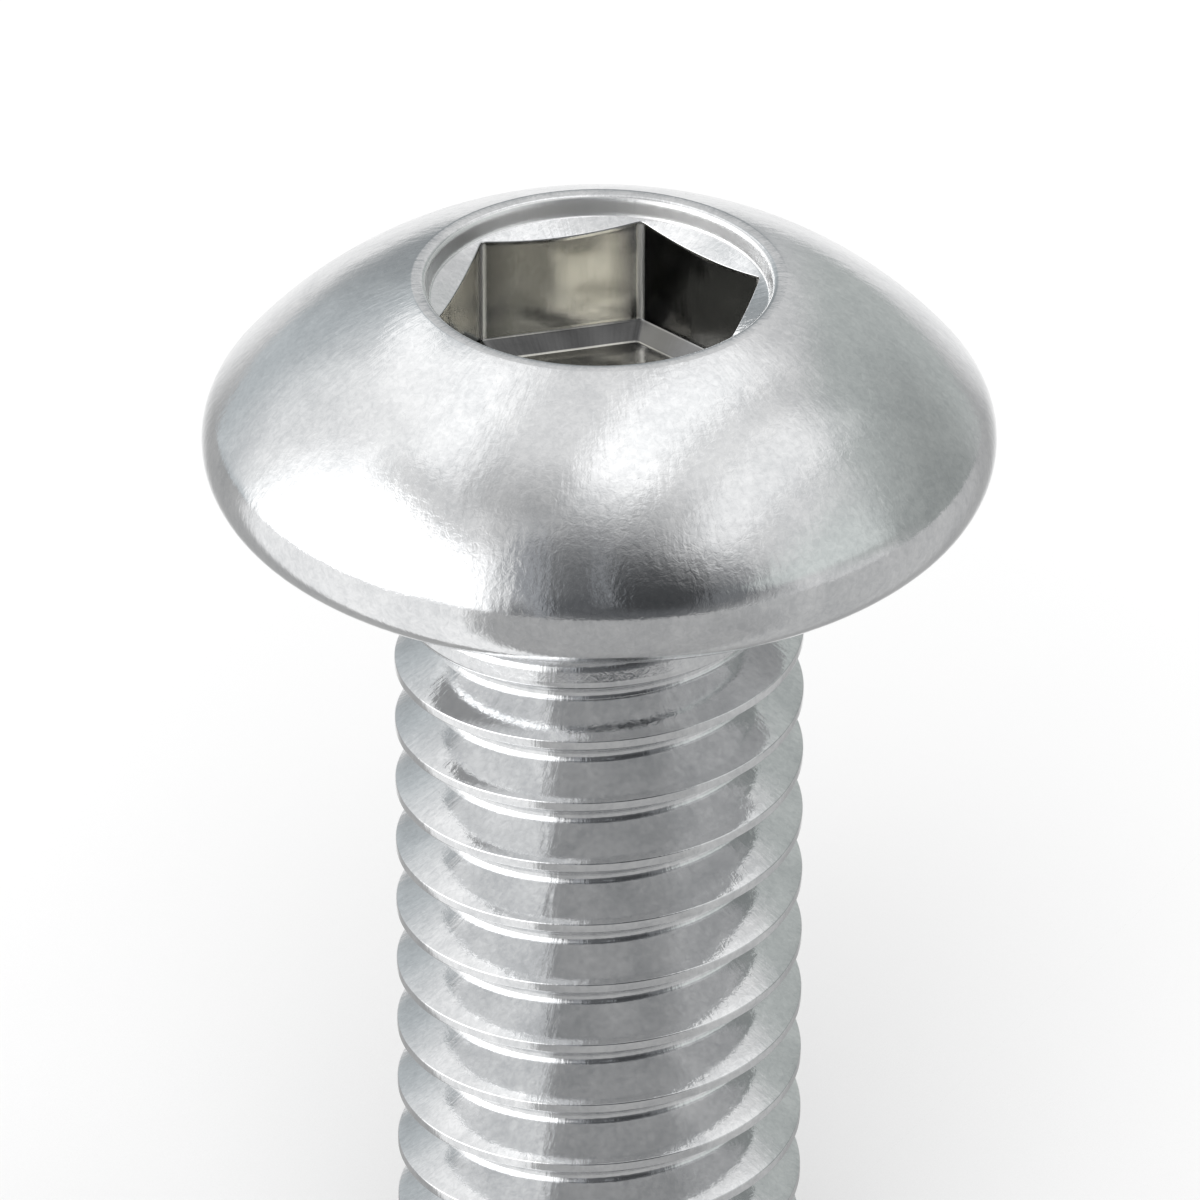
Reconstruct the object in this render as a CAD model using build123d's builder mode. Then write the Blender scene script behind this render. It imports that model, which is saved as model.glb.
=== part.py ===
from build123d import *
from math import ceil, cos, pi, radians, sin, sqrt, tan
import os

# An M3 x 0.5 button head socket screw, 8 mm long, cold headed and thread rolled from one piece.
# Millimetres. The origin is the middle of the bearing face under the head, and +Z points out
# of the head, so the threaded shank hangs down to its flat tip at Z = -length.

# ---- Head -----------------------------------------------------------------------------------
head_diameter = 5.60
head_height = 1.60
rim_radius = 0.41  # rounding of the head's widest edge
rim_under_angle = 58.0  # how far the rounding runs below the widest line, to the bearing face
rim_dome_angle = 38.4  # how far it runs above that line, to where the dome takes over
land_diameter = 2.64  # outside of the narrow flat ring around the socket's mouth
under_head_fillet = 0.20  # ends the bearing face outside the thread's crests

# ---- Hexagon socket -------------------------------------------------------------------------
socket_across_flats = 2.03
socket_depth = 1.06  # from the flat ring to the floor
socket_floor_chamfer = 0.12  # left by the bevelled nose of the heading punch
mouth_diameter = 2.44  # inside of the flat ring
mouth_step = 0.145  # depth of the short steep step just inside the ring
mouth_step_lean = 9.0  # the step's lean from the vertical
mouth_cone_angle = 144.0  # included angle of the lead-in cone below the step

# ---- Shank and thread (60 degree metric profile, single start, right handed) ----------------
length = 8.00  # from the bearing face to the tip
major_diameter = 2.91
pitch = 0.50
crest_flat = 0.0625  # width of the flat on each crest
flank_angle = 30.0  # each flank, from the plane across the axis
root_radius = 0.072
thread_phase = 245.0  # turns the thread about the axis

# ---- Ends of the thread ---------------------------------------------------------------------
neck_diameter = 2.58  # the blank's own diameter, left plain under the head
crest_start = 0.54  # where the crests rise out of the neck, below the bearing face
groove_start = 0.34  # where the grooves sink into it
runout_angle = 15.0  # slope on which both do so
tip_diameter = 2.15  # flat end inside the lead chamfer
tip_chamfer_angle = 45.0

# ---- Worked out from the sizes above --------------------------------------------------------
rim_centre_radius = head_diameter / 2 - rim_radius
rim_height = rim_radius * sin(radians(rim_under_angle))
land_radius = land_diameter / 2
mouth_radius = mouth_diameter / 2
socket_corner_radius = socket_across_flats / 2 / cos(pi / 6)
major_radius = major_diameter / 2
neck_radius = neck_diameter / 2
tip_radius = tip_diameter / 2

# The groove is a V whose bottom is a full round, tangent to both flanks. Distances along the
# axis are measured from the middle of the groove.
flank = radians(flank_angle)
groove_half_width = (pitch - crest_flat) / 2
root_half_width = root_radius * cos(flank)
root_centre = major_radius - groove_half_width / tan(flank) + root_radius / sin(flank)
flank_foot = root_centre - root_radius * sin(flank)
minor_radius = root_centre - root_radius

clearance = 0.10  # how far hidden ends are buried in solid metal, and cuts pass its skin


def thread_radius(z):
    """Radius of the thread's surface at a distance z along the axis from mid groove."""
    if abs(z) <= root_half_width:
        return root_centre - sqrt(root_radius**2 - z**2)
    return flank_foot + (abs(z) - root_half_width) / tan(flank)


def thread_curve(z_from, z_to, points=9):
    """The stretch of the thread's cross-section that the axial profile from z_from to z_to
    sweeps out, one pitch being one turn."""
    curve = []
    for i in range(points):
        z = z_from + (z_to - z_from) * i / (points - 1)
        angle = 2 * pi * z / pitch
        curve.append((thread_radius(z) * cos(angle), thread_radius(z) * sin(angle)))
    return Spline(curve)


# ---- Threaded shank: the thread's cross-section twisted along the axis, then turned to length -
thread_bottom = -length - clearance
thread_turns = ceil((length + 2 * clearance) / pitch)
crest_half_angle = 180 * crest_flat / pitch
runout_slope = tan(radians(runout_angle))
buried_radius = minor_radius - clearance
envelope_radius = major_radius + clearance

# The path has a joint at every turn, which keeps each of the thread's faces to one turn.
turn_ends = [(0, 0, thread_bottom + turn * pitch) for turn in range(thread_turns + 1)]
axis_path = Wire([Edge.make_line(low, high) for low, high in zip(turn_ends, turn_ends[1:])])

with BuildPart() as shank:
    with BuildSketch(Plane.XY.offset(thread_bottom).rotated((0, 0, thread_phase))):
        with BuildLine():
            thread_curve(-groove_half_width, -root_half_width)
            thread_curve(-root_half_width, root_half_width)
            thread_curve(root_half_width, groove_half_width)
            CenterArc((0, 0), major_radius, 180 - crest_half_angle, 2 * crest_half_angle)
        make_face()
    with BuildLine() as twist:
        Helix(pitch, thread_turns * pitch, major_radius, center=(0, 0, thread_bottom))
    sweep(path=axis_path, binormal=twist.line.edge())

    with BuildSketch(Plane.XZ):
        with BuildLine():
            chamfer_top = (envelope_radius - tip_radius) / tan(radians(tip_chamfer_angle))
            crest_drop = (envelope_radius - neck_radius) / runout_slope
            buried_rise = (neck_radius - buried_radius) / runout_slope
            Polyline(
                (0, buried_rise - crest_start),
                (buried_radius, buried_rise - crest_start),
                (envelope_radius, -crest_start - crest_drop),
                (envelope_radius, chamfer_top - length),
                (tip_radius, -length),
                (0, -length),
                close=True,
            )
        make_face()
    revolve(axis=Axis.Z, mode=Mode.INTERSECT)

# ---- Socket: the hexagon punch with its bevelled nose ----------------------------------------
socket_floor = head_height - socket_depth

with BuildPart() as punch:
    with BuildSketch(Plane.XY.offset(socket_floor)):
        RegularPolygon(socket_corner_radius, 6)
    extrude(amount=socket_depth + clearance)
    nose = punch.faces().sort_by(Axis.Z)[0]
    chamfer(nose.edges(), socket_floor_chamfer)

# ---- Screw: head and neck turned as one, joined to the shank, then punched --------------------
with BuildPart() as button_head_screw:
    with BuildSketch(Plane.XZ):
        with BuildLine():
            groove_drop = (neck_radius - buried_radius) / runout_slope
            rim = CenterArc(
                (rim_centre_radius, rim_height),
                rim_radius,
                -rim_under_angle,
                rim_under_angle + rim_dome_angle,
            )
            land_edge = (land_radius, head_height)
            TangentArc(rim @ 1, land_edge, tangent=rim % 1)
            fillet_centre = (neck_radius + under_head_fillet, -under_head_fillet)
            under_head = CenterArc(fillet_centre, under_head_fillet, 90, 90)
            Line(rim @ 0, under_head @ 0)
            Polyline(
                under_head @ 1,
                (neck_radius, -groove_start),
                (buried_radius, -groove_start - groove_drop),
                (0, -groove_start - groove_drop),
                (0, head_height),
                land_edge,
            )
        make_face()
    revolve(axis=Axis.Z)
    add(shank.part)

    # The mouth: a steep step inside the flat ring, then the lead-in cone
    with BuildSketch(Plane.XZ):
        with BuildLine():
            step_radius = mouth_radius - mouth_step * tan(radians(mouth_step_lean))
            cone_depth = step_radius / tan(radians(mouth_cone_angle / 2))
            brim_radius = mouth_radius + clearance * tan(radians(mouth_step_lean))
            Polyline(
                (0, head_height + clearance),
                (brim_radius, head_height + clearance),
                (step_radius, head_height - mouth_step),
                (0, head_height - mouth_step - cone_depth),
                close=True,
            )
        make_face()
    revolve(axis=Axis.Z, mode=Mode.SUBTRACT)
    add(punch.part, mode=Mode.SUBTRACT)

button_head_screw.part.label = "button_head_screw"

os.makedirs("parts", exist_ok=True)
export_step(button_head_screw.part, "parts/button_head_screw.step")
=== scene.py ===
"""Button head socket screw, standing on its tip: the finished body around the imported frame."""

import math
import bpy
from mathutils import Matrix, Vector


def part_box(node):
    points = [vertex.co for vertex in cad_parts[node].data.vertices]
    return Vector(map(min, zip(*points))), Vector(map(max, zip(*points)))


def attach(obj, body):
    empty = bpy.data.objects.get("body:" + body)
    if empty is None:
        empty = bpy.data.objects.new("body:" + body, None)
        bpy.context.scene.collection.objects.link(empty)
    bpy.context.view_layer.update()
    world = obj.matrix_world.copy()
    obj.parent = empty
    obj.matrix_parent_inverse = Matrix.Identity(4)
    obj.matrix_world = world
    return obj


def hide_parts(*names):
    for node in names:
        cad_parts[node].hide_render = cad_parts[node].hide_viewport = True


bl_info = {
    "name": "Button Head Screw",
    "version": (1, 0, 0),
    "blender": (4, 5, 0),
    "location": "3D View > Sidebar > Screw",
    "description": "Makes a bright steel button head socket screw with a rolled thread",
    "category": "Add Mesh",
}

import bpy
from bpy.props import FloatProperty, FloatVectorProperty, IntProperty, PointerProperty
from mathutils import Vector

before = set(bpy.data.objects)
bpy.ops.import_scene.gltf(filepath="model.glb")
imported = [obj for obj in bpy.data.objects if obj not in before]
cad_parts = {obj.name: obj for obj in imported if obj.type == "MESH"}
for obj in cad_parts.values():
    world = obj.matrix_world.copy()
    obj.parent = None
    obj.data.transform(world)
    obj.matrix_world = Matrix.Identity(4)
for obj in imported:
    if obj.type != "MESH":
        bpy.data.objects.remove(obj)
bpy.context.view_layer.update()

BODY = "root"
NODE = "button_head_screw"
SLOT = "bright_steel"
MM = 0.001
LOW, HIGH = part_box(NODE)


def length_property(name, millimetres, description):
    """A length in metres whose default is given in millimetres."""
    return FloatProperty(
        name=name,
        description=description,
        default=millimetres * MM,
        min=0.0,
        precision=5,
        subtype="DISTANCE",
        unit="LENGTH",
    )


def angle_property(name, degrees, description):
    """An angle whose default is given in degrees."""
    return FloatProperty(
        name=name,
        description=description,
        default=math.radians(degrees),
        subtype="ANGLE",
        unit="ROTATION",
    )


def colour_property(name, colour, description):
    return FloatVectorProperty(
        name=name,
        description=description,
        default=colour,
        size=3,
        min=0.0,
        max=1.0,
        subtype="COLOR",
    )


# ---- Sizes ----------------------------------------------------------------------------------


class HeadSizes(bpy.types.PropertyGroup):
    """The domed head, its underside and the neck below it."""

    diameter: length_property("Diameter", (HIGH.x - LOW.x) / MM, "Widest line of the head")
    height: length_property("Height", HIGH.z / MM, "From the bearing face to the flat ring")
    rim_radius: length_property("Rim radius", 0.41, "Rounding of the widest edge")
    rim_under: angle_property("Rim below", 58.0, "How far the rounding runs below the widest line")
    rim_above: angle_property("Rim above", 38.4, "How far the rounding runs up to the dome")
    land_diameter: length_property("Land diameter", 2.64, "Outside of the ring round the socket")
    fillet: length_property("Under-head fillet", 0.20, "Hollow between bearing face and neck")
    neck_diameter: length_property("Neck diameter", 2.58, "Plain blank left under the head")
    edge_radius: length_property("Edge radius", 0.03, "Softening of the land's and underside's edges")


class SocketSizes(bpy.types.PropertyGroup):
    """The hexagon socket and its mouth."""

    across_flats: length_property("Across flats", 2.03, "Width of the hexagon")
    depth: length_property("Depth", 1.06, "From the flat ring to the floor")
    floor_chamfer: length_property("Floor chamfer", 0.12, "Bevel between the walls and the floor")
    corner_radius: length_property("Corner radius", 0.05, "Rounding of the upright corners")
    mouth_diameter: length_property("Mouth diameter", 2.44, "Inside of the flat ring")
    mouth_step: length_property("Mouth step", 0.145, "Depth of the steep step inside the flat ring")
    step_lean: angle_property("Step lean", 9.0, "The step's lean from the upright")
    cone_angle: angle_property("Cone angle", 144.0, "Included angle of the lead-in cone")
    mouth_radius: length_property("Mouth edge radius", 0.05, "Rounding of the ring's inner edge")
    edge_radius: length_property("Edge radius", 0.012, "Softening of the socket's edges")


class ThreadSizes(bpy.types.PropertyGroup):
    """The rolled thread and its two ends."""

    length: length_property("Length", -LOW.z / MM, "From the bearing face to the tip")
    major_diameter: length_property("Major diameter", 2.91, "Over the crests")
    pitch: length_property("Pitch", 0.50, "Rise of the thread in one turn")
    crest_flat: length_property("Crest flat", 0.0625, "Width of the flat on each crest")
    flank_angle: angle_property("Flank angle", 30.0, "Each flank, from the plane across the axis")
    root_radius: length_property("Root radius", 0.072, "Full round at the bottom of the groove")
    crest_radius: length_property("Crest radius", 0.014, "Rounding of the crest's two edges")
    tip_phase: angle_property("Tip phase", 317.0, "Where the groove passes the plane of the tip")
    crest_start: length_property("Crest start", 0.54, "Depth below the head where the crests rise")
    groove_start: length_property("Groove start", 0.34, "Depth below the head where the groove sinks")
    runout_angle: angle_property("Run-out angle", 15.0, "Slope on which crests and groove run out")
    tip_diameter: length_property("Tip diameter", 2.15, "Flat end inside the lead chamfer")
    tip_angle: angle_property("Tip angle", 45.0, "Slope of the lead chamfer")
    tip_radius: length_property("Tip edge radius", 0.02, "Rounding between chamfer and flat end")
    run_round: length_property("Run-out rounding", 0.02, "Softness where the thread meets its ends")


class FinishColours(bpy.types.PropertyGroup):
    """The metal's colours, and how finely the screw's skin is divided."""

    steel: colour_property("Steel", (0.80, 0.805, 0.81), "The bright metal's own colour")
    steel_shade: colour_property(
        "Steel, duller", (0.62, 0.63, 0.64), "The metal's colour in its cloudy patches"
    )
    # Painted highlight: a lighter metal colour on the mouth's step and the hexagon's upright corners
    steel_painted_highlight: colour_property(
        "Steel, burnished", (0.92, 0.92, 0.92), "The metal on the mouth's step and in the corners"
    )
    # The socket's own colour, darker than the head's, partly as painted shade of the recess
    socket: colour_property("Socket", (0.62, 0.61, 0.57), "The punched metal inside the hexagon")
    # Painted shade: the dark colour laid on two of the hexagon's walls and in the floor's bevel
    painted_shade: colour_property(
        "Painted shade", (0.20, 0.20, 0.20), "Dark forging residue on the hexagon's walls"
    )
    # Painted shade: near black, laid in the crease of the floor's bevel
    painted_crease_shade: colour_property("Painted crease shade", (0.01, 0.01, 0.01), "The darkest residue, in the floor's bevel")
    columns: IntProperty(
        name="Columns",
        description="Faces round the axis; a multiple of 12",
        default=144,
        min=36,
        max=288,
    )


# ---- Node writing ---------------------------------------------------------------------------


class Wire:
    """One output in a node tree. Python's operators on it add Math nodes, so formulas read as such."""

    def __init__(self, tree, socket):
        self.tree = tree
        self.socket = socket

    def math(self, operation, *others):
        node = self.tree.nodes.new("ShaderNodeMath")
        node.operation = operation
        for socket, value in zip(node.inputs, (self, *others)):
            plug(self.tree, value, socket)
        return Wire(self.tree, node.outputs[0])

    def __add__(self, other):
        return self.math("ADD", other)

    def __sub__(self, other):
        return self.math("SUBTRACT", other)

    def __mul__(self, other):
        return self.math("MULTIPLY", other)

    def __truediv__(self, other):
        return self.math("DIVIDE", other)

    def __mod__(self, other):
        return self.math("FLOORED_MODULO", other)


def plug(tree, value, socket):
    """Joins a Wire to a socket, or sets the socket to a plain value."""
    if isinstance(value, Wire):
        tree.links.new(value.socket, socket)
    else:
        socket.default_value = value


def add_node(tree, kind, inputs=None, **settings):
    """A new node with its settings, then its inputs by name or number."""
    node = tree.nodes.new(kind)
    for key, value in settings.items():
        setattr(node, key, value)
    for key, value in (inputs or {}).items():
        plug(tree, value, node.inputs[key])
    return node


def out(tree, node, key=0):
    return Wire(tree, node.outputs[key])


def new_tree(name, kind, inputs, outputs):
    """A node tree with named sockets; inputs are (name, socket type, default)."""
    tree = bpy.data.node_groups.new(name, kind)
    for label, socket_type, default in inputs:
        item = tree.interface.new_socket(label, in_out="INPUT", socket_type=socket_type)
        if default is not None:
            item.default_value = default
    for label, socket_type in outputs:
        tree.interface.new_socket(label, in_out="OUTPUT", socket_type=socket_type)
    entry = tree.nodes.new("NodeGroupInput")
    exit_node = tree.nodes.new("NodeGroupOutput")
    wires = {label: Wire(tree, entry.outputs[label]) for label, _, _ in inputs}
    return tree, wires, exit_node


def attribute(tree, name):
    node = add_node(tree, "GeometryNodeInputNamedAttribute", {"Name": name}, data_type="FLOAT")
    return out(tree, node)


# ---- Profiles -------------------------------------------------------------------------------

STEP_FOOT_SHARE = 0.6  # rounding at the foot of the mouth's step, as a share of the one above


class Corner:
    """One corner of a profile: its radius and height, and how it is finished."""

    def __init__(self, radius, height, fillet=0.0, steps=1, crowd=0.0, hexagon=0.0, rise=0.0):
        self.point = Vector((radius, 0.0, height))
        self.marks = {
            "fillet": fillet,  # rounding of this corner
            "steps": steps,  # faces that the rounding has
            "crowd": crowd,  # 1 where the columns crowd towards the hexagon's corners
            "hexagon": hexagon,  # 1 where the row follows the hexagon, not a circle
            "rise": rise,  # 1 where the row climbs the cone towards the hexagon's corners
        }


def arc(centre, radius, start, end, steps):
    """Corners along an arc in the profile, by angles from the radial direction."""
    for i in range(steps + 1):
        angle = start + (end - start) * i / steps
        yield Corner(centre[0] + radius * math.cos(angle), centre[1] + radius * math.sin(angle))


def guarded(corners, guard):
    """The corners with one more point on each long straight run, close to each rounded corner,
    so that smooth shading keeps the flats flat."""
    result = []
    for before, here, after in zip([None, *corners], corners, [*corners[1:], None]):
        fillet = here.marks["fillet"]
        if not fillet or before is None or after is None:
            result.append(here)
            continue
        back, ahead = before.point - here.point, after.point - here.point
        reach = fillet * math.tan((math.pi - back.angle(ahead)) / 2) + guard
        for run, other in ((back, before), (ahead, after)):
            if run is ahead:
                result.append(here)
            if run.length > 2 * reach and here.marks["hexagon"] == other.marks["hexagon"]:
                place = here.point + run.normalized() * reach
                extra = Corner(place.x, place.z)
                extra.marks.update({key: here.marks[key] for key in ("crowd", "hexagon")})
                result.append(extra)
    return result


def tip_profile(thread, tip_ring):
    """From the middle of the flat end to the ring on the lead chamfer where the thread begins."""
    radius = thread.tip_diameter / 2
    return [
        Corner(0, -thread.length),
        Corner(radius, -thread.length, thread.tip_radius, 4),
        Corner(radius + tip_ring / math.tan(thread.tip_angle), tip_ring - thread.length),
    ]


def groove_profile(thread):
    """One pitch of the thread, from the middle of a crest to the middle of the next."""
    radius = thread.major_diameter / 2
    half_width = (thread.pitch - thread.crest_flat) / 2
    bottom = radius - half_width / math.tan(thread.flank_angle)
    root_half_width = thread.root_radius * math.cos(thread.flank_angle)
    crest_round = thread.crest_radius

    def flank(side):
        for share in (0.25, 0.5, 0.75):
            offset = root_half_width + (half_width - root_half_width) * share
            yield Corner(bottom + offset / math.tan(thread.flank_angle), side * offset)

    return [
        Corner(radius, -thread.pitch / 2),
        Corner(radius, -half_width, crest_round, 4),
        *reversed(list(flank(-1))),
        Corner(bottom, 0, thread.root_radius, 8),
        *flank(1),
        Corner(radius, half_width, crest_round, 4),
        Corner(radius, thread.pitch / 2),
    ]


def mouth_sizes(head, socket):
    """The radius at the foot of the mouth's step, the lead-in cone's slope, and the height at
    which the middles of the hexagon's walls meet the cone."""
    step_foot = socket.mouth_diameter / 2 - socket.mouth_step * math.tan(socket.step_lean)
    cone_slope = math.tan(socket.cone_angle / 2)
    drop = (step_foot - socket.across_flats / 2) / cone_slope
    return step_foot, cone_slope, head.height - socket.mouth_step - drop


def head_profile(head, socket, neck_ring):
    """From the ring on the neck where the thread ends, up over the head and down to the middle
    of the socket's floor."""
    neck = head.neck_diameter / 2
    rim_centre = (head.diameter / 2 - head.rim_radius, head.rim_radius * math.sin(head.rim_under))
    land = (head.land_diameter / 2, head.height)
    # The dome is the circle that carries on from the rim's rounding and ends at the land's edge
    normal = Vector((math.cos(head.rim_above), math.sin(head.rim_above)))
    start = Vector(rim_centre) + head.rim_radius * normal
    chord = start - Vector(land)
    dome_radius = chord.length_squared / (2 * chord.dot(normal))
    dome_centre = start - dome_radius * normal
    dome_end = math.atan2(land[1] - dome_centre.y, land[0] - dome_centre.x)
    dome = list(arc(dome_centre, dome_radius, head.rim_above, dome_end, 26))[1:-1]

    flat = socket.across_flats / 2
    floor = head.height - socket.depth
    mouth = socket.mouth_diameter / 2
    step_foot, _, wall_top = mouth_sizes(head, socket)
    edge = socket.edge_radius
    foot_radius = STEP_FOOT_SHARE * socket.mouth_radius
    inside = {"crowd": 1.0}
    walls = {"crowd": 1.0, "hexagon": 1.0}
    return [
        Corner(neck, -neck_ring),
        *arc((neck + head.fillet, -head.fillet), head.fillet, math.pi, math.pi / 2, 10),
        Corner(rim_centre[0] + head.rim_radius * math.cos(head.rim_under), 0, head.edge_radius, 4),
        *list(arc(rim_centre, head.rim_radius, -head.rim_under, head.rim_above, 30))[1:],
        *dome,
        Corner(*land, 2 * head.edge_radius, 4),
        Corner(mouth, head.height, socket.mouth_radius, 6, **inside),
        Corner(step_foot, head.height - socket.mouth_step, foot_radius, 4, **inside),
        Corner(flat, wall_top, edge, 4, rise=1.0, **walls),
        Corner(flat, floor + socket.floor_chamfer, edge, 3, **walls),
        Corner(flat - socket.floor_chamfer, floor, edge, 3, **walls),
        Corner(0, floor, **walls),
    ]


# ---- Geometry node trees --------------------------------------------------------------------

ROUNDED = "rounded_profile"
TURNED = "turned_sheet"
THREADED = "threaded_sheet"
FORM = "screw_form"

# Sockets that more than one tree has: name, type, default
COLUMNS_SOCKET = ("Columns", "NodeSocketInt", 144)
HEXAGON_SOCKETS = [
    ("Corner Share", "NodeSocketFloat", 0.03),
    ("Cone Slope", "NodeSocketFloat", 1.73),
    ("Crowding", "NodeSocketFloat", 0.8),
]
THREAD_SOCKETS = [
    ("Turns", "NodeSocketInt", 18),
    ("Pitch", "NodeSocketFloat", 0.0),
    ("First Groove", "NodeSocketFloat", 0.0),
    ("Length", "NodeSocketFloat", 0.0),
    ("Tip Ring", "NodeSocketFloat", 0.0),
    ("Tip Radius", "NodeSocketFloat", 0.0),
    ("Tip Slope", "NodeSocketFloat", 1.0),
    ("Neck Ring", "NodeSocketFloat", 0.0),
    ("Neck Radius", "NodeSocketFloat", 0.0),
    ("Crest Start", "NodeSocketFloat", 0.0),
    ("Groove Start", "NodeSocketFloat", 0.0),
    ("Run-out Slope", "NodeSocketFloat", 0.5),
    ("Rounding", "NodeSocketFloat", 0.0),
]


def rounded_profile_tree():
    """Rounds a profile's corners by their own radii."""
    tree, given, result = new_tree(
        ROUNDED,
        "GeometryNodeTree",
        [("Profile", "NodeSocketGeometry", None)],
        [("Rows", "NodeSocketGeometry"), ("Row Count", "NodeSocketInt")],
    )
    curve = add_node(tree, "GeometryNodeMeshToCurve", {"Mesh": given["Profile"]})
    fillet = add_node(
        tree,
        "GeometryNodeFilletCurve",
        {
            "Curve": out(tree, curve),
            "Count": attribute(tree, "steps"),
            "Radius": attribute(tree, "fillet"),
        },
        mode="POLY",
    )
    size = add_node(
        tree,
        "GeometryNodeAttributeDomainSize",
        {"Geometry": out(tree, fillet)},
        component="CURVE",
    )
    plug(tree, out(tree, fillet), result.inputs["Rows"])
    plug(tree, out(tree, size, "Point Count"), result.inputs["Row Count"])
    return tree


def grid_of_rows(tree, rows, row_count, column_count):
    """A flat grid, and for each of its points the column number, and the profile's radius,
    height and marks."""
    grid = add_node(
        tree, "GeometryNodeMeshGrid", {"Vertices X": column_count, "Vertices Y": row_count}
    )
    index = out(tree, tree.nodes.new("GeometryNodeInputIndex"))
    column = (index / row_count).math("FLOOR")
    row = index - column * row_count

    def sampled(value, data_type="FLOAT"):
        node = add_node(tree, "GeometryNodeSampleIndex", data_type=data_type)
        plug(tree, rows, node.inputs["Geometry"])
        plug(tree, value, node.inputs["Value"])
        plug(tree, row, node.inputs["Index"])
        return out(tree, node)

    place = sampled(out(tree, tree.nodes.new("GeometryNodeInputPosition")), "FLOAT_VECTOR")
    parts = add_node(tree, "ShaderNodeSeparateXYZ", {0: place})
    return out(tree, grid, "Mesh"), column, out(tree, parts, "X"), out(tree, parts, "Z"), sampled


def placed(tree, mesh, radius, angle, height):
    """Moves the grid's points to their places round the axis."""
    place = add_node(
        tree,
        "ShaderNodeCombineXYZ",
        {"X": radius * angle.math("COSINE"), "Y": radius * angle.math("SINE"), "Z": height},
    )
    moved = add_node(
        tree, "GeometryNodeSetPosition", {"Geometry": mesh, "Position": out(tree, place)}
    )
    return out(tree, moved)


def turned_sheet_tree():
    """Turns a profile about the axis. Rows marked as hexagon follow the hexagon's outline, with
    rounded corners, and rows marked to rise climb the cone to its corners."""
    tree, given, result = new_tree(
        TURNED,
        "GeometryNodeTree",
        [("Profile", "NodeSocketGeometry", None), COLUMNS_SOCKET, *HEXAGON_SOCKETS],
        [("Mesh", "NodeSocketGeometry")],
    )
    profile = add_node(tree, "GeometryNodeGroup", node_tree=bpy.data.node_groups[ROUNDED])
    plug(tree, given["Profile"], profile.inputs["Profile"])
    mesh, column, radius, height, sampled = grid_of_rows(
        tree, out(tree, profile, "Rows"), out(tree, profile, "Row Count"), given["Columns"] + 1
    )
    crowd = sampled(attribute(tree, "crowd")) * given["Crowding"]
    turn = (column % given["Columns"]) / given["Columns"] * math.tau
    angle = turn - crowd * (turn * 6).math("SINE") / 6

    # The hexagon's outline as a share of its flats' distance, by the angle from mid flat
    sector = math.pi / 3
    from_flat = ((angle % sector) - sector / 2).math("ABSOLUTE")
    straight = from_flat.math("COSINE").math("POWER", -1.0)
    corner = given["Corner Share"]
    corner_centre = (corner * -1.0 + 1.0) / math.cos(sector / 2)
    from_corner = from_flat * -1.0 + sector / 2
    off_line = corner_centre * from_corner.math("SINE")
    half_chord = (corner * corner - off_line * off_line).math("MAXIMUM", 0.0).math("SQRT")
    curved = corner_centre * from_corner.math("COSINE") + half_chord
    arc_start = ((corner * -1.0 + 1.0) * math.tan(sector / 2)).math("ARCTANGENT")
    in_corner = from_flat.math("GREATER_THAN", arc_start)
    outline = straight + (curved - straight) * in_corner

    stretch = sampled(attribute(tree, "hexagon")) * (outline - 1.0)
    climb = sampled(attribute(tree, "rise")) * radius * stretch / given["Cone Slope"]
    sheet = placed(tree, mesh, radius * (stretch + 1.0), angle, height + climb)
    plug(tree, sheet, result.inputs["Mesh"])
    return tree


def threaded_sheet_tree():
    """Winds one pitch of the thread's profile up the axis as a helix, and trims it by the lead
    chamfer at the tip and by the run-out under the head."""
    tree, given, result = new_tree(
        THREADED,
        "GeometryNodeTree",
        [("Profile", "NodeSocketGeometry", None), COLUMNS_SOCKET, *THREAD_SOCKETS],
        [("Mesh", "NodeSocketGeometry")],
    )
    profile = add_node(tree, "GeometryNodeGroup", node_tree=bpy.data.node_groups[ROUNDED])
    plug(tree, given["Profile"], profile.inputs["Profile"])
    mesh, column, radius, offset, _ = grid_of_rows(
        tree,
        out(tree, profile, "Rows"),
        out(tree, profile, "Row Count"),
        given["Columns"] * given["Turns"] + 1,
    )
    angle = (column % given["Columns"]) / given["Columns"] * math.tau
    height = given["First Groove"] + given["Pitch"] * column / given["Columns"] + offset
    height = height.math("MAXIMUM", given["Tip Ring"] - given["Length"])
    height = height.math("MINIMUM", given["Neck Ring"] * -1.0)

    chamfer = given["Tip Radius"] + (height + given["Length"]) * given["Tip Slope"]
    crest_limit = given["Neck Radius"] - (height + given["Crest Start"]) * given["Run-out Slope"]
    core = given["Neck Radius"] + (height + given["Groove Start"]) * given["Run-out Slope"]
    core = core.math("MINIMUM", given["Neck Radius"])
    radius = radius.math("SMOOTH_MIN", chamfer, given["Rounding"])
    radius = radius.math("SMOOTH_MIN", crest_limit, given["Rounding"])
    radius = radius.math("SMOOTH_MAX", core, given["Rounding"])
    plug(tree, placed(tree, mesh, radius, angle, height), result.inputs["Mesh"])
    return tree


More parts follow.
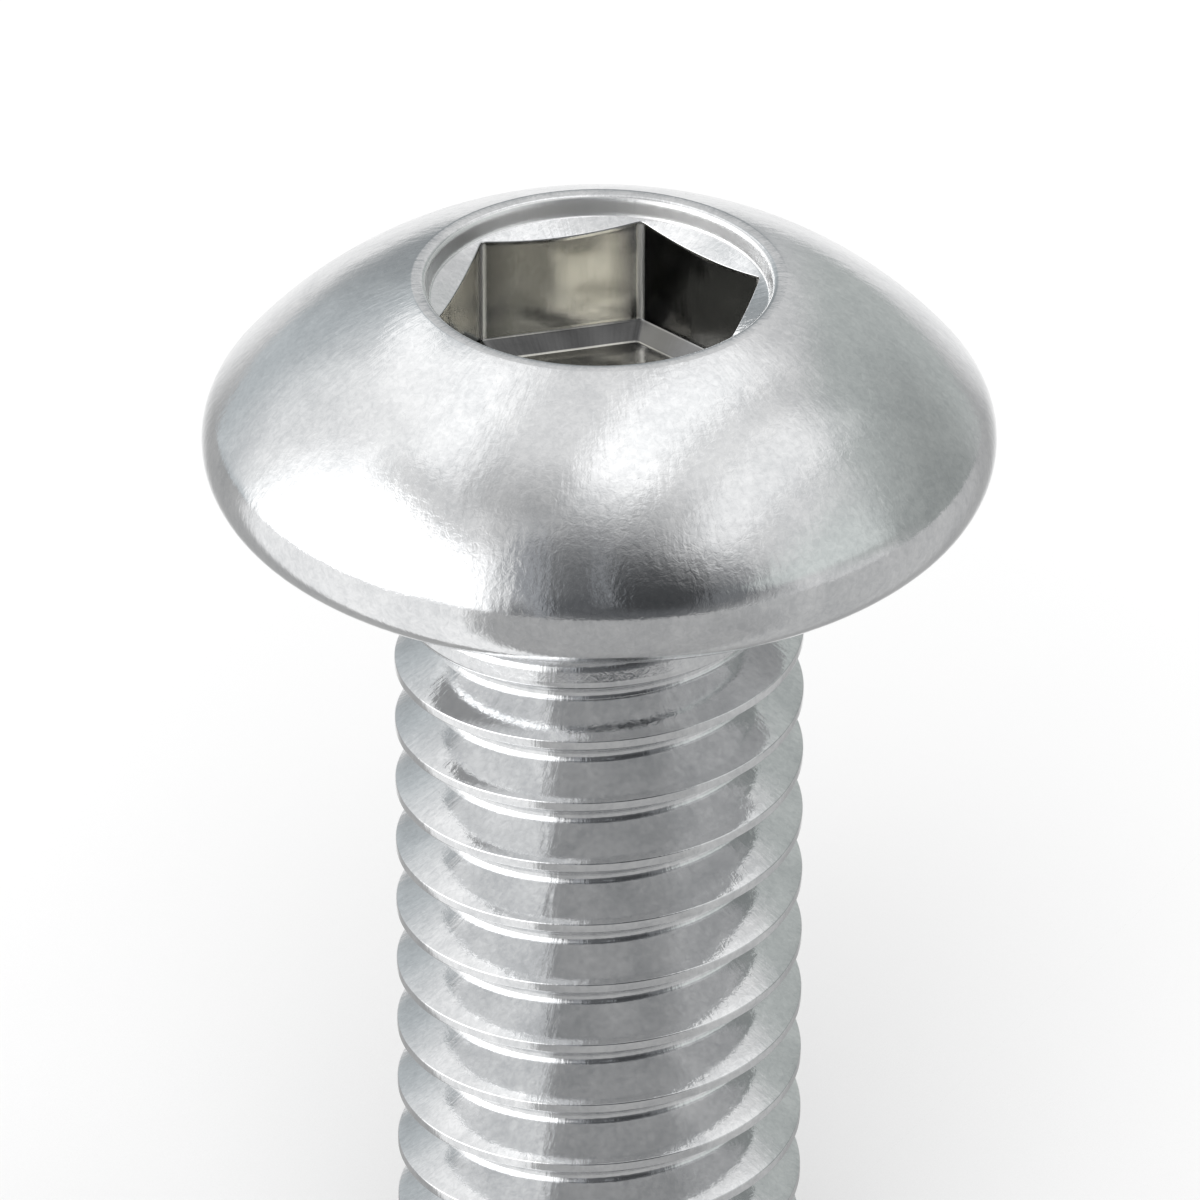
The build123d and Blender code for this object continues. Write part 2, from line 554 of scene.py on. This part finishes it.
def screw_form_tree():
    """The whole screw: tip, thread and head from their three profiles, welded into one skin."""
    sizes = [COLUMNS_SOCKET, *THREAD_SOCKETS, *HEXAGON_SOCKETS]
    tree, given, result = new_tree(
        FORM,
        "GeometryNodeTree",
        [
            ("Profiles", "NodeSocketGeometry", None),
            *sizes,
            ("Weld", "NodeSocketFloat", 0.0),
            ("Material", "NodeSocketMaterial", None),
        ],
        [("Mesh", "NodeSocketGeometry")],
    )
    joined = tree.nodes.new("GeometryNodeJoinGeometry")
    for number, group in enumerate((TURNED, THREADED, TURNED)):
        is_this = attribute(tree, "part").math("COMPARE", float(number), 0.5)
        chain = add_node(
            tree,
            "GeometryNodeSeparateGeometry",
            {"Geometry": given["Profiles"], "Selection": is_this},
        )
        sheet = add_node(tree, "GeometryNodeGroup", node_tree=bpy.data.node_groups[group])
        plug(tree, out(tree, chain), sheet.inputs["Profile"])
        for name, _, _ in sizes:
            if name in sheet.inputs:
                plug(tree, given[name], sheet.inputs[name])
        tree.links.new(sheet.outputs["Mesh"], joined.inputs[0])
    welded = add_node(
        tree,
        "GeometryNodeMergeByDistance",
        {"Geometry": out(tree, joined), "Distance": given["Weld"]},
    )
    smooth = add_node(tree, "GeometryNodeSetShadeSmooth", {"Geometry": out(tree, welded)})
    real = add_node(tree, "GeometryNodeRealizeInstances", {"Geometry": out(tree, smooth)})
    painted = add_node(
        tree, "GeometryNodeSetMaterial", {"Geometry": out(tree, real), "Material": given["Material"]}
    )
    plug(tree, out(tree, painted), result.inputs["Mesh"])
    return tree


def profiles_mesh(chains):
    """The profiles as chains of edges in one mesh, with each corner's marks as attributes."""
    points, edges, marks, part = [], [], {}, []
    for number, corners in enumerate(chains):
        first = len(points)
        edges += [(first + i, first + i + 1) for i in range(len(corners) - 1)]
        for corner in corners:
            points.append(corner.point)
            part.append(float(number))
            for key, value in corner.marks.items():
                marks.setdefault(key, []).append(float(value))
    mesh = bpy.data.meshes.new("profiles")
    mesh.from_pydata(points, edges, [])
    for key, values in {**marks, "part": part}.items():
        mesh.attributes.new(key, "FLOAT", "POINT").data.foreach_set("value", values)
    return mesh


def bake(name, mesh, tree, values):
    """Runs a tree on a mesh and returns its result as a plain mesh object."""
    maker = bpy.data.objects.new(name + "_maker", mesh)
    bpy.context.scene.collection.objects.link(maker)
    modifier = maker.modifiers.new("form", "NODES")
    modifier.node_group = tree
    for item in tree.interface.items_tree:
        if item.in_out == "INPUT" and item.name in values:
            modifier[item.identifier] = values[item.name]
    graph = bpy.context.evaluated_depsgraph_get()
    result = bpy.data.meshes.new_from_object(maker.evaluated_get(graph), depsgraph=graph)
    maker.modifiers.remove(modifier)
    bpy.data.objects.remove(maker)
    for key in ("part", "fillet", "steps", "crowd", "hexagon", "rise"):
        if key in result.attributes:
            result.attributes.remove(result.attributes[key])
    result.name = name
    result.materials.clear()
    result.materials.append(values["Material"])
    piece = bpy.data.objects.new(name, result)
    bpy.context.scene.collection.objects.link(piece)
    return piece


# ---- Materials ------------------------------------------------------------------------------


GRAIN = "steel_grain"
SOCKET_ZONE = "socket_zone"
AROUND = 2.2  # radius, in millimetres, on which the streaks are laid out
ROUGHNESS = 0.10  # of the plain metal
PUNCH_MARKS_START = (3.0, 1.0, 0.0)  # chooses which stretch of the pattern the walls get
PUNCH_MARKS_DEPTH = 0.024  # millimetres


def noise(tree, vector, scale, detail=2.0, roughness=0.5, distortion=0.0):
    """A noise pattern around its middle, from about -0.5 to 0.5."""
    node = add_node(
        tree,
        "ShaderNodeTexNoise",
        {"Vector": vector, "Detail": detail, "Roughness": roughness, "Distortion": distortion},
    )
    plug(tree, scale, node.inputs["Scale"])
    return out(tree, node) - 0.5


def grain_tree():
    """The surface that tumbling and rolling leave: a fine grain, wavy streaks that run down from
    the axis, and cloudy patches. Positions and sizes are in millimetres."""
    tree, given, result = new_tree(
        GRAIN,
        "ShaderNodeTree",
        [
            ("Position", "NodeSocketVector", None),
            ("Grain Size", "NodeSocketFloat", 0.05),
            ("Grain Depth", "NodeSocketFloat", 0.0012),
            ("Streak Width", "NodeSocketFloat", 0.08),
            ("Streak Length", "NodeSocketFloat", 0.4),
            ("Streak Depth", "NodeSocketFloat", 0.0018),
            ("Patch Size", "NodeSocketFloat", 0.5),
        ],
        [(name, "NodeSocketFloat") for name in ("Height", "Patches", "Speckle")],
    )
    position = given["Position"]
    axes = add_node(tree, "ShaderNodeSeparateXYZ", {0: position})
    x, y, z = (out(tree, axes, key) for key in "XYZ")
    radius = (x * x + y * y).math("SQRT").math("MAXIMUM", 0.05)
    streak_place = add_node(
        tree,
        "ShaderNodeCombineXYZ",
        {
            "X": x / radius * AROUND / given["Streak Width"],
            "Y": y / radius * AROUND / given["Streak Width"],
            "Z": (radius - z) / given["Streak Length"],
        },
    )
    streaks = noise(tree, out(tree, streak_place), 1.0, 2.0, 0.6)
    speckle = noise(tree, position, given["Grain Size"].math("POWER", -1.0), 3.0, 0.7, 0.6)
    patches = noise(tree, position, given["Patch Size"].math("POWER", -1.0), 3.0, 0.55, 0.8)
    height = streaks * given["Streak Depth"] + speckle * given["Grain Depth"]
    plug(tree, height, result.inputs["Height"])
    plug(tree, patches, result.inputs["Patches"])
    plug(tree, speckle, result.inputs["Speckle"])
    return tree


def socket_zone_tree():
    """Masks for the socket's places: the hexagon's walls and floor, fading out on the lead-in cone;
    the steep step above the cone and the hexagon's upright corners, which get painted highlights; and
    the floor's bevel, which gets painted shade. Positions and sizes are in millimetres."""
    tree, given, result = new_tree(
        SOCKET_ZONE,
        "ShaderNodeTree",
        [
            ("Position", "NodeSocketVector", None),
            ("Wall Radius", "NodeSocketFloat", 1.0),
            ("Wall Top", "NodeSocketFloat", 1.4),
            ("Cone Slope", "NodeSocketFloat", 3.0),
            ("Floor", "NodeSocketFloat", 0.5),
            ("Bevel", "NodeSocketFloat", 0.12),
            ("Step Foot", "NodeSocketFloat", 1.2),
            ("Step Bottom", "NodeSocketFloat", 1.45),
        ],
        [(name, "NodeSocketFloat") for name in ("Mask", "Step", "Bevel", "Corners")],
    )
    axes = add_node(tree, "ShaderNodeSeparateXYZ", {0: given["Position"]})
    x, y, z = (out(tree, axes, key) for key in "XYZ")
    radius = (x * x + y * y).math("SQRT")
    cone = given["Wall Top"] + (radius - given["Wall Radius"]) / given["Cone Slope"]
    below = add_node(
        tree, "ShaderNodeMapRange", {"Value": cone - z, "From Min": 0.0, "From Max": 0.03}
    )
    near = radius.math("LESS_THAN", given["Wall Radius"] * 1.2)
    above = z.math("GREATER_THAN", given["Floor"] - 0.05)
    plug(tree, out(tree, below) * near * above, result.inputs["Mask"])
    on_step = radius.math("COMPARE", given["Step Foot"] + 0.012, 0.02)
    plug(tree, on_step * z.math("GREATER_THAN", given["Step Bottom"]), result.inputs["Step"])
    bevel = (z - given["Floor"]).math("COMPARE", given["Bevel"] * 0.5, given["Bevel"] * 0.42)
    plug(tree, bevel * near, result.inputs["Bevel"])
    on_wall = z.math("GREATER_THAN", given["Floor"] + given["Bevel"])
    corner = add_node(
        tree,
        "ShaderNodeMapRange",
        {"Value": (y.math("ARCTAN2", x) * 6).math("COSINE"), "From Min": 0.983, "From Max": 0.997},
    )
    plug(tree, out(tree, corner) * out(tree, below) * near * on_wall, result.inputs["Corners"])
    return tree


def bright_steel(colours, head, socket):
    """Bright, softly polished steel, with painted shade and painted highlights in the socket."""
    material = bpy.data.materials.new(SLOT)
    material.use_nodes = True
    tree = material.node_tree
    shader = tree.nodes["Principled BSDF"]
    shader.inputs["Metallic"].default_value = 1.0
    coordinates = out(tree, tree.nodes.new("ShaderNodeTexCoord"), "Object")
    scaled = add_node(
        tree, "ShaderNodeVectorMath", {0: coordinates, "Scale": 1 / MM}, operation="SCALE"
    )
    position = out(tree, scaled)

    grain = add_node(tree, "ShaderNodeGroup", {}, node_tree=grain_tree())
    plug(tree, position, grain.inputs["Position"])
    zone = add_node(tree, "ShaderNodeGroup", {}, node_tree=socket_zone_tree())
    step_foot, cone_slope, wall_top = mouth_sizes(head, socket)
    sizes = {
        "Position": position,
        "Wall Radius": socket.across_flats / 2 / MM,
        "Wall Top": wall_top / MM,
        "Cone Slope": cone_slope,
        "Floor": (head.height - socket.depth) / MM,
        "Bevel": socket.floor_chamfer / MM,
        "Step Foot": step_foot / MM,
        "Step Bottom": (head.height - socket.mouth_step) / MM,
    }
    for key, value in sizes.items():
        plug(tree, value, zone.inputs[key])
    in_socket, on_step = out(tree, zone), out(tree, zone, "Step")
    on_bevel, in_corner = out(tree, zone, "Bevel"), out(tree, zone, "Corners")

    def towards(angle, low, high):
        """How far a point lies to one side of the axis."""
        aim = (math.cos(math.radians(angle)), math.sin(math.radians(angle)), 0.0)
        side = add_node(
            tree, "ShaderNodeVectorMath", {0: position, 1: aim}, operation="DOT_PRODUCT"
        )
        ramp = add_node(
            tree,
            "ShaderNodeMapRange",
            {"Value": out(tree, side, "Value"), "From Min": low, "From Max": high},
        )
        return out(tree, ramp)

    def mixed(factor, first, second):
        blend = add_node(tree, "ShaderNodeMix", data_type="RGBA")
        plug(tree, factor, blend.inputs["Factor"])
        plug(tree, first, blend.inputs[6])
        plug(tree, second, blend.inputs[7])
        return out(tree, blend, 2)

    def colour(value):
        return (*value, 1.0)

    patches = out(tree, grain, "Patches")
    speckle = out(tree, grain, "Speckle")
    cloudy = (patches * 1.8 + speckle * 2.0 + 0.5).math("MAXIMUM", 0.0).math("MINIMUM", 1.0)
    skin = mixed(cloudy, colour(colours.steel), colour(colours.steel_shade))
    # Painted shade lies on two of the walls, by the directions that they face, and in the bevel, but
    # not in the corners
    painted_shade = towards(30.0, 0.80, 0.95) + towards(150.0, 0.80, 1.0) * 0.8
    painted_shade = painted_shade + on_bevel * 1.1 - in_corner * 0.9
    painted_shade = painted_shade.math("MAXIMUM", 0.0).math("MINIMUM", 1.0)
    shaded_socket = mixed(painted_shade, colour(colours.socket), colour(colours.painted_shade))
    # Painted shade: the bevel's crease is darkened towards near black
    crease_shaded = mixed(on_bevel * 0.35, shaded_socket, colour(colours.painted_crease_shade))
    # Inside the socket the colour is darker, partly as painted shade of the recess
    body = mixed(in_socket, skin, crease_shaded)
    # Painted highlights: the mouth's step and the upright corners get the lighter colour
    highlighted = on_step.math("MAXIMUM", in_corner)
    bright = mixed(highlighted, body, colour(colours.steel_painted_highlight))
    plug(tree, bright, shader.inputs["Base Color"])

    roughness = speckle * 0.14 + patches * 0.08 + in_socket * 0.06
    roughness = roughness + on_step * 0.3 + in_corner * 0.3 + ROUGHNESS
    plug(tree, roughness, shader.inputs["Roughness"])

    bump = add_node(tree, "ShaderNodeBump", {"Strength": 1.0, "Distance": MM})
    moved = add_node(
        tree, "ShaderNodeVectorMath", {0: position, 1: PUNCH_MARKS_START}, operation="ADD"
    )
    punch_marks = noise(tree, out(tree, moved), 2.2, 1.0, 0.5, 0.1) * in_socket
    punch_marks = punch_marks * PUNCH_MARKS_DEPTH
    polish = in_socket * -0.6 + 1.0  # the punch leaves less grain than the head's surface has
    plug(tree, out(tree, grain, "Height") * polish + punch_marks, bump.inputs["Height"])
    plug(tree, out(tree, bump), shader.inputs["Normal"])
    return material


# ---- Stage ----------------------------------------------------------------------------------

CAMERA_SIDE = math.radians(254.8)  # direction from the screw to the camera, round the axis
CAMERA_RISE = math.radians(30.0)
CAMERA_DISTANCE = 105.4 * MM
AIM_HEIGHT = -0.996 * MM
LENS = 446.2  # millimetres, on a sensor 36 mm wide
FRAME_SHIFT = 0.0007
PLAN = "studio_plan"
WINDOW = "studio_window"


def plan_tree():
    """The plan of the studio: directions as seen from straight above, turned so that the camera
    is below the middle. Distances from the middle are angles from the zenith, in degrees."""
    tree, given, result = new_tree(
        PLAN,
        "ShaderNodeTree",
        [("Direction", "NodeSocketVector", None)],
        [("Place", "NodeSocketVector")],
    )
    unit = out(
        tree,
        add_node(tree, "ShaderNodeVectorMath", {0: given["Direction"]}, operation="NORMALIZE"),
    )

    def along(axis):
        node = add_node(tree, "ShaderNodeVectorMath", {0: unit, 1: axis}, operation="DOT_PRODUCT")
        return out(tree, node, "Value")

    right = along((-math.sin(CAMERA_SIDE), math.cos(CAMERA_SIDE), 0.0))
    away = along((-math.cos(CAMERA_SIDE), -math.sin(CAMERA_SIDE), 0.0))
    height = along((0.0, 0.0, 1.0))
    level = (right * right + away * away).math("SQRT").math("MAXIMUM", 1e-6)
    reach = height.math("ARCCOSINE") * math.degrees(1.0) / level
    place = add_node(
        tree, "ShaderNodeCombineXYZ", {"X": right * reach, "Y": away * reach, "Z": 1.0}
    )
    plug(tree, out(tree, place), result.inputs["Place"])
    return tree


def window_tree():
    """A soft-edged oblong on the plan. Across and Along give the place as shares of its half
    sizes: their X and Y weigh the plan's two directions and their Z moves the middle to zero."""
    tree, given, result = new_tree(
        WINDOW,
        "ShaderNodeTree",
        [
            ("Place", "NodeSocketVector", None),
            ("Across", "NodeSocketVector", (0.1, 0.0, 0.0)),
            ("Along", "NodeSocketVector", (0.0, 0.1, 0.0)),
            ("Softness", "NodeSocketFloat", 0.3),
        ],
        [("Mask", "NodeSocketFloat")],
    )

    def fourth_power(axis):
        node = add_node(
            tree,
            "ShaderNodeVectorMath",
            {0: given["Place"], 1: given[axis]},
            operation="DOT_PRODUCT",
        )
        return out(tree, node, "Value").math("POWER", 4.0)

    ramp = add_node(
        tree,
        "ShaderNodeMapRange",
        {
            "Value": (fourth_power("Across") + fourth_power("Along")).math("SQRT"),
            "From Min": given["Softness"] + 1.0,
            "From Max": given["Softness"] * -1.0 + 1.0,
        },
        interpolation_type="SMOOTHSTEP",
    )
    plug(tree, out(tree, ramp), result.inputs["Mask"])
    return tree


def window_mask(tree, place, label, right, away, turn, half_width, half_height, softness):
    """Places a window on the plan: its middle, its turn and its half sizes, all in degrees."""
    window = add_node(tree, "ShaderNodeGroup", node_tree=bpy.data.node_groups[WINDOW], label=label)
    plug(tree, place, window.inputs["Place"])
    window.inputs["Softness"].default_value = softness
    for key, half, angle in (("Across", half_width, turn), ("Along", half_height, turn + 90)):
        x, y = math.cos(math.radians(angle)) / half, math.sin(math.radians(angle)) / half
        window.inputs[key].default_value = (x, y, -right * x - away * y)
    return out(tree, window)


# Places are given on the studio's plan in degrees: right and away from the camera. Each window
# covers the ones before it.
PLAIN = (1.0, 1.0, 1.0)
COOL = (0.97, 1.0, 1.05)
GREENISH = (0.95, 1.0, 0.98)
CYAN = (0.94, 1.0, 1.03)
WINDOWS = [
    # name, right, away, turn, half width, half height, softness, level, tint
    ("right wall", 47, 49, 17, 16, 73, 0.56, 0.56, GREENISH),
    ("left back wall", -51, 56, -14, 38, 29, 0.15, 0.63, CYAN),
    ("right far card", 75, 33, 27, 20, 35, 0.98, 0.39, GREENISH),
    ("back wall", -7, 76, 6.4, 24, 13, 0.98, 0.37, CYAN),
    ("overhead", 6.7, 6.4, -13, 43, 16, 0.98, 0.94, PLAIN),
    ("upper left wall", -32, 17, 58, 19, 16, 0.98, 1.43, PLAIN),
    ("overhead strip", 9.8, 2.2, -24, 7.6, 31, 0.98, 1.36, PLAIN),
    ("second strip", 28, -19, -19, 6.2, 40, 0.98, 1.12, PLAIN),
    ("back left lamp", -32, 33, -24, 4.7, 17, 0.98, 1.61, PLAIN),
    ("left low card", -56, 6.7, -16, 24, 44, 0.98, 1.06, PLAIN),
    ("softbox", -104, -32, -49, 33, 58, 0.98, 3.20, PLAIN),
    ("softbox front", -39, -48, 37, 25, 21, 0.84, 3.20, PLAIN),
    ("front opening", 7.7, -66, -22, 49, 38, 0.90, 0.13, COOL),
    ("front core", 18, -53, 9.4, 15, 20, 0.79, 0.07, COOL),
    ("upper front card", -19, -24, -7.7, 8.7, 3.5, 0.98, 0.68, PLAIN),
    ("left slit", -20, -58, -7, 4.1, 33, 0.68, 0.40, COOL),
    ("middle slit", 1.9, -48, 5.5, 1.5, 17, 0.98, 0.36, COOL),
    ("right front edge", 40, -47, 13, 8.6, 17, 0.98, 0.20, COOL),
    ("right streak", 55, -19, -21, 9.4, 23, 0.98, 0.80, GREENISH),
    ("left arc", -35, -9.2, 23, 4.1, 18, 0.98, 0.84, PLAIN),
]
SURROUNDINGS = 0.77
PLAIN_LIGHT = 0.915  # what matt surfaces get from every side, instead of the windows


def studio_surroundings():
    """The studio round the screw: softboxes, walls and the dark opening that the camera looks
    through. Matt surfaces get one even soft light instead, and the camera itself sees a plain
    pale grey beyond the floor, so that the screw's bright edges stand out from low down."""
    world = bpy.data.worlds.new("studio")
    world.use_nodes = True
    bpy.context.scene.world = world
    tree = world.node_tree
    tree.nodes.clear()
    plan = add_node(tree, "ShaderNodeGroup", node_tree=plan_tree())
    direction = out(tree, add_node(tree, "ShaderNodeTexCoord"), "Generated")
    plug(tree, direction, plan.inputs["Direction"])
    window_tree()
    light = add_node(tree, "ShaderNodeBackground", {"Strength": 1.0})
    colour = (SURROUNDINGS, SURROUNDINGS, SURROUNDINGS, 1.0)
    for name, *place, level, tint in WINDOWS:
        blend = add_node(tree, "ShaderNodeMix", data_type="RGBA")
        plug(tree, window_mask(tree, out(tree, plan), name, *place), blend.inputs["Factor"])
        plug(tree, colour, blend.inputs[6])
        plug(tree, (*(level * part for part in tint), 1.0), blend.inputs[7])
        colour = out(tree, blend, 2)
    plug(tree, colour, light.inputs["Color"])
    ray = tree.nodes.new("ShaderNodeLightPath")
    seen = light
    for kind, level in (("Is Diffuse Ray", PLAIN_LIGHT), ("Is Camera Ray", BACKDROP)):
        plain = add_node(tree, "ShaderNodeBackground", {"Strength": level})
        plain.inputs["Color"].default_value = (1.0, 1.0, 1.0, 1.0)
        choice = add_node(tree, "ShaderNodeMixShader", {0: out(tree, ray, kind)})
        tree.links.new(seen.outputs[0], choice.inputs[1])
        tree.links.new(plain.outputs[0], choice.inputs[2])
        seen = choice
    ending = tree.nodes.new("ShaderNodeOutputWorld")
    tree.links.new(seen.outputs[0], ending.inputs["Surface"])
    world.cycles.sampling_method = "NONE"


# Painted pools of light on the floor, which glow only in the metal's reflections: where the floor
# shines in the metal, on the studio's plan
FLOOR_SHINE = [
    # name, right, away, turn, half width, half height, softness, level
    ("left of the screw", -105, -45, 57, 80, 62, 0.25, 0.60),
    ("right of the screw", 105, -10, 0, 60, 70, 0.5, 0.12),
    ("behind the screw", 0, 118, 0, 60, 33, 0.8, 0.50),
]
BACKDROP = 0.70  # pale grey of the far floor and of what lies beyond it
# Painted pool of light: the floor is white round the screw and turns grey farther out
POOL_EDGE = (24 * MM, 42 * MM)  # the floor turns from white to that grey between these distances
FLOOR_HALF = 0.4  # metres, from the floor's middle to each side
FLOOR_SEEN = 0.8  # how light the floor is to the camera, before its shade
FLOOR_MIRRORED = 0.40  # how light it is to everything else
FLOOR_GLOW = 0.075  # light of its own, for the camera alone
SHADE_REACH = 9 * MM  # how near the screw has to be to darken a place on the floor
FLOOR_SHADE = 0.5  # how strongly the floor darkens close to the screw
FRONT_SIDE = math.radians(249.0)  # direction from the screw to the front light, round the axis
FRONT_RISE = math.radians(42.0)
FRONT_SPREAD = math.radians(42.0)
FRONT_POWER = 1.4


def pale_floor():
    """A plain matt floor at the tip. It shows white in a painted pool of light round the screw, keeps
    part of the screw's shadow, partly as painted shade, and glows in painted pools of light that only
    reflections show.
    """
    mesh = bpy.data.meshes.new("floor")
    signs = [(-1, -1), (1, -1), (1, 1), (-1, 1)]
    corners = [(x * FLOOR_HALF, y * FLOOR_HALF, LOW.z) for x, y in signs]
    mesh.from_pydata(corners, [], [(0, 1, 2, 3)])
    floor = bpy.data.objects.new("floor", mesh)
    bpy.context.scene.collection.objects.link(floor)
    material = bpy.data.materials.new("pale_floor")
    material.use_nodes = True
    tree = material.node_tree
    matt = tree.nodes["Principled BSDF"]
    matt.inputs["Roughness"].default_value = 0.6
    matt.inputs["Specular IOR Level"].default_value = 0.0
    nearby = add_node(tree, "ShaderNodeAmbientOcclusion", {"Distance": SHADE_REACH}, samples=4)
    coordinates = out(tree, add_node(tree, "ShaderNodeTexCoord"), "Object")
    reach = add_node(tree, "ShaderNodeVectorMath", {0: coordinates}, operation="LENGTH")
    # Painted pool of light: white round the screw, fading to the backdrop's grey
    pool = add_node(
        tree,
        "ShaderNodeMapRange",
        {
            "Value": out(tree, reach, "Value"),
            "From Min": POOL_EDGE[0],
            "From Max": POOL_EDGE[1],
            "To Min": 1.0,
            "To Max": BACKDROP,
        },
        interpolation_type="SMOOTHSTEP",
    )
    shade = out(tree, nearby, "AO") * FLOOR_SHADE + (1.0 - FLOOR_SHADE)
    shade = shade * out(tree, pool)
    ray = tree.nodes.new("ShaderNodeLightPath")
    to_camera = out(tree, ray, "Is Camera Ray")
    paper = add_node(tree, "ShaderNodeMix", {"Factor": to_camera}, data_type="RGBA")
    paper.inputs[6].default_value = (FLOOR_MIRRORED, FLOOR_MIRRORED, FLOOR_MIRRORED, 1.0)
    plug(tree, shade * FLOOR_SEEN, paper.inputs[7])
    plug(tree, out(tree, paper, 2), matt.inputs["Base Color"])
    seen = out(tree, ray, "Is Glossy Ray").math("MAXIMUM", out(tree, ray, "Is Transmission Ray"))
    plan = add_node(tree, "ShaderNodeGroup", node_tree=bpy.data.node_groups[PLAN])
    plug(tree, coordinates, plan.inputs["Direction"])
    glow = to_camera * shade * FLOOR_GLOW
    # Painted pools of light: the floor glows in these places for reflections alone
    for name, *place, level in FLOOR_SHINE:
        glow = glow + seen * window_mask(tree, out(tree, plan), name, *place) * level
    white = add_node(tree, "ShaderNodeEmission", {"Strength": glow})
    both = tree.nodes.new("ShaderNodeAddShader")
    tree.links.new(matt.outputs[0], both.inputs[0])
    tree.links.new(white.outputs[0], both.inputs[1])
    tree.links.new(both.outputs[0], tree.nodes["Material Output"].inputs["Surface"])
    mesh.materials.append(material)


def direction(side, rise):
    """The unit vector at one angle round the screw's axis and another above the floor."""
    level = math.cos(rise)
    return Vector((math.cos(side) * level, math.sin(side) * level, math.sin(rise)))


def front_light():
    """A broad soft light from the front, which lays the screw's shadow on the floor behind it. The
    softboxes in the surroundings already give its shine, so the metal doesn't show it again."""
    data = bpy.data.lights.new("front_light", "SUN")
    data.angle = FRONT_SPREAD
    data.energy = FRONT_POWER
    lamp = bpy.data.objects.new("front_light", data)
    lamp.rotation_euler = direction(FRONT_SIDE, FRONT_RISE).to_track_quat("Z", "Y").to_euler()
    lamp.visible_glossy = False
    bpy.context.scene.collection.objects.link(lamp)


def studio_camera():
    """The camera, above and in front of the screw."""
    data = bpy.data.cameras.new("camera")
    data.lens = LENS
    data.sensor_width = 36.0
    data.shift_x = FRAME_SHIFT
    data.clip_start = 0.001
    camera = bpy.data.objects.new("camera", data)
    aim = Vector((0.0, 0.0, AIM_HEIGHT))
    away = direction(CAMERA_SIDE, CAMERA_RISE)
    camera.location = aim + away * CAMERA_DISTANCE
    camera.rotation_euler = away.to_track_quat("Z", "Y").to_euler()
    bpy.context.scene.collection.objects.link(camera)
    bpy.context.scene.camera = camera
    bpy.context.scene.view_settings.view_transform = "Standard"


# ---- Operators ------------------------------------------------------------------------------

GUARD = 0.02 * MM  # how far past each rounding the point lies that keeps the flat beside it flat
TIP_RING = 0.03 * MM  # how far above the tip its profile gives way to the threaded sheet
NECK_RING_DROP = 0.01 * MM  # how far below the fillet the head's profile gives way to it
CROWDING = 0.8  # how strongly the columns crowd towards the hexagon's corners
WELD = 0.0002 * MM  # points closer than this are joined


class SCREW_OT_body(bpy.types.Operator):
    """Make the screw's whole body: head, socket, thread and tip"""

    bl_idname = "screw.body"
    bl_label = "Make Screw"

    def execute(self, context):
        head, socket, thread = (
            context.scene.screw_head,
            context.scene.screw_socket,
            context.scene.screw_thread,
        )
        finish = context.scene.screw_finish
        neck_ring = head.fillet + NECK_RING_DROP
        chains = [
            guarded(tip_profile(thread, TIP_RING), GUARD),
            groove_profile(thread),
            guarded(head_profile(head, socket, neck_ring), GUARD),
        ]
        rounded_profile_tree()
        turned_sheet_tree()
        threaded_sheet_tree()
        start_turns = thread.tip_phase / math.tau + 1
        first_groove = -thread.length - thread.pitch * start_turns
        values = {
            "Columns": finish.columns,
            "Turns": math.ceil((thread.length / thread.pitch) + start_turns + 1),
            "Pitch": thread.pitch,
            "First Groove": first_groove,
            "Length": thread.length,
            "Tip Ring": TIP_RING,
            "Tip Radius": thread.tip_diameter / 2,
            "Tip Slope": 1 / math.tan(thread.tip_angle),
            "Neck Ring": neck_ring,
            "Neck Radius": head.neck_diameter / 2,
            "Crest Start": thread.crest_start,
            "Groove Start": thread.groove_start,
            "Run-out Slope": math.tan(thread.runout_angle),
            "Rounding": thread.run_round,
            "Corner Share": 2 * socket.corner_radius / socket.across_flats,
            "Cone Slope": math.tan(socket.cone_angle / 2),
            "Crowding": CROWDING,
            "Weld": WELD,
            "Material": bright_steel(finish, head, socket),
        }
        piece = bake("screw_body", profiles_mesh(chains), screw_form_tree(), values)
        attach(piece, BODY)
        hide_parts(NODE)
        return {"FINISHED"}


class SCREW_OT_stage(bpy.types.Operator):
    """Make the pale floor, the studio light and the camera"""

    bl_idname = "screw.stage"
    bl_label = "Make Stage"

    def execute(self, context):
        studio_surroundings()
        pale_floor()
        front_light()
        studio_camera()
        return {"FINISHED"}


class SCREW_PT_panel(bpy.types.Panel):
    """The screw's sizes and its operators"""

    bl_label = "Button Head Screw"
    bl_idname = "SCREW_PT_panel"
    bl_space_type = "VIEW_3D"
    bl_region_type = "UI"
    bl_category = "Screw"

    def draw(self, context):
        for group in ("screw_head", "screw_socket", "screw_thread", "screw_finish"):
            box = self.layout.box()
            settings = getattr(context.scene, group)
            for name in settings.__annotations__:
                box.prop(settings, name)
        for operator in (SCREW_OT_body, SCREW_OT_stage):
            self.layout.operator(operator.bl_idname)


SETTINGS = {
    "screw_head": HeadSizes,
    "screw_socket": SocketSizes,
    "screw_thread": ThreadSizes,
    "screw_finish": FinishColours,
}
CLASSES = (*SETTINGS.values(), SCREW_OT_body, SCREW_OT_stage, SCREW_PT_panel)


def register():
    for item in CLASSES:
        bpy.utils.register_class(item)
    for name, group in SETTINGS.items():
        setattr(bpy.types.Scene, name, PointerProperty(type=group))


def unregister():
    for name in SETTINGS:
        delattr(bpy.types.Scene, name)
    for item in reversed(CLASSES):
        bpy.utils.unregister_class(item)


def main():
    register()
    bpy.ops.screw.body()
    bpy.ops.screw.stage()


if __name__ == "__main__":
    main()
